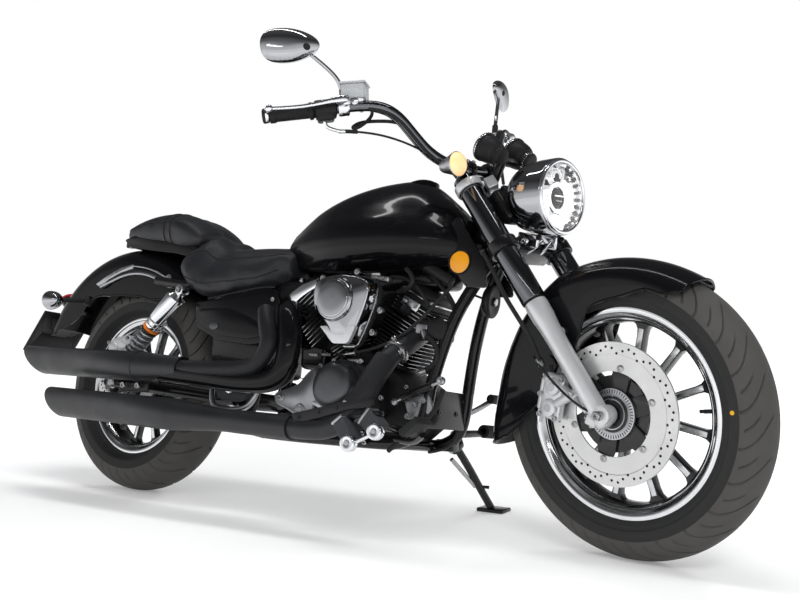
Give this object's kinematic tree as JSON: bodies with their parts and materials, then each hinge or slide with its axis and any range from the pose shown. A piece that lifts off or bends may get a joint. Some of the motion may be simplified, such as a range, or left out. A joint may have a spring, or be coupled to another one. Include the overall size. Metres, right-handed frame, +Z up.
{
  "type": "cruiser motorcycle",
  "caption": "Cruiser motorcycle with teardrop tank, V engine, slash-cut mufflers, deep fenders and pulled-back handlebar, leaning on its side stand.",
  "frame": {"origin": "on the ground, under the middle of the whole bike's outline, leaning on its side stand", "axes": "+X towards the front wheel, +Y to the rider's left, +Z up"},
  "size_m": [2.3369, 0.8994, 1.1962],
  "materials": {
    "gloss_black": "deep gloss black paint under clear coat",
    "frame_black": "satin black frame paint",
    "matte_black": "matte black powder coat",
    "exhaust_black": "heat-proof matte black",
    "engine_black": "black crinkle engine paint",
    "black_vinyl": "grained black seat vinyl",
    "tyre_rubber": "black tyre rubber",
    "rubber_black": "black moulded rubber",
    "wheel_metal": "machined and black-painted cast alloy",
    "disc_steel": "ground steel",
    "chrome": "bright chrome plate",
    "headlight_chrome": "chrome bezel and clear lens over a black bowl",
    "dark_chrome": "smoked dark chrome",
    "fork_metal": "satin silver legs, smoked chrome covers",
    "satin_metal": "satin bare aluminium",
    "case_metal": "satin grey engine covers",
    "matte_plastic": "black moulded plastic",
    "gauge_black": "black instrument cans with bright rims",
    "lens_red": "moulded red lens",
    "signal_amber": "amber lens in a bright housing"
  },
  "bodies": {
    "frame": {"main_frame": "frame_black", "downtubes": "frame_black", "lower_cradle": "frame_black", "swingarm": "frame_black", "rear_shocks": "chrome", "fuel_tank": "gloss_black", "rider_seat": "black_vinyl", "passenger_seat": "black_vinyl", "rear_fender": "gloss_black", "fender_struts": "satin_metal", "plate_bracket": "matte_black", "side_covers": "gloss_black", "neck_covers": "matte_plastic", "crankcase": "engine_black", "front_cylinder": "engine_black", "rear_cylinder": "engine_black", "clutch_cover": "case_metal", "generator_cover": "case_metal", "air_cleaner": "chrome", "intake": "engine_black", "exhaust_pipes": "exhaust_black", "mufflers": "exhaust_black", "footpegs": "rubber_black", "foot_controls": "satin_metal", "horn": "matte_plastic", "tail_light": "lens_red", "rear_signals": "chrome", "rear_caliper": "satin_metal", "drive_belt": "rubber_black", "clutch_cable": "rubber_black"},
    "steering": {"fork_clamps": "chrome", "fork": "fork_metal", "front_fender": "gloss_black", "headlight": "headlight_chrome", "gauges": "gauge_black", "handlebar": "dark_chrome", "grips": "rubber_black", "hand_controls": "matte_plastic", "mirrors": "chrome", "front_signals": "signal_amber", "front_caliper": "satin_metal", "brake_hose": "rubber_black"},
    "front_wheel": {"front_rim": "wheel_metal", "front_tyre": "tyre_rubber", "front_disc": "disc_steel"},
    "rear_wheel": {"rear_rim": "wheel_metal", "rear_tyre": "tyre_rubber", "rear_disc": "disc_steel", "rear_pulley": "frame_black"},
    "side_stand": {"side_stand": "frame_black"}
  },
  "joints": [
    {"name": "steering", "type": "hinge", "parent": "frame", "child": "steering", "pos_m": [0.81545, -0.11208, 0.26324], "axis": [-0.5523, 0.106, 0.8269], "range_deg": [-23.2, 52.8]},
    {"name": "front_wheel_spin", "type": "hinge", "parent": "steering", "child": "front_wheel", "pos_m": [0.87187, -0.12507, 0.30259], "axis": [0.213, 0.9769, 0.0171], "continuous": true},
    {"name": "rear_wheel_spin", "type": "hinge", "parent": "frame", "child": "rear_wheel", "pos_m": [-0.6262, -0.10616, 0.30886], "axis": [0.0001, 0.9919, -0.1271], "continuous": true},
    {"name": "side_stand_fold", "type": "hinge", "parent": "frame", "child": "side_stand", "pos_m": [0.35886, 0.03659, 0.18011], "axis": [0.1, 0.8863, 0.4522], "range_deg": [0, 95]}
  ]
}
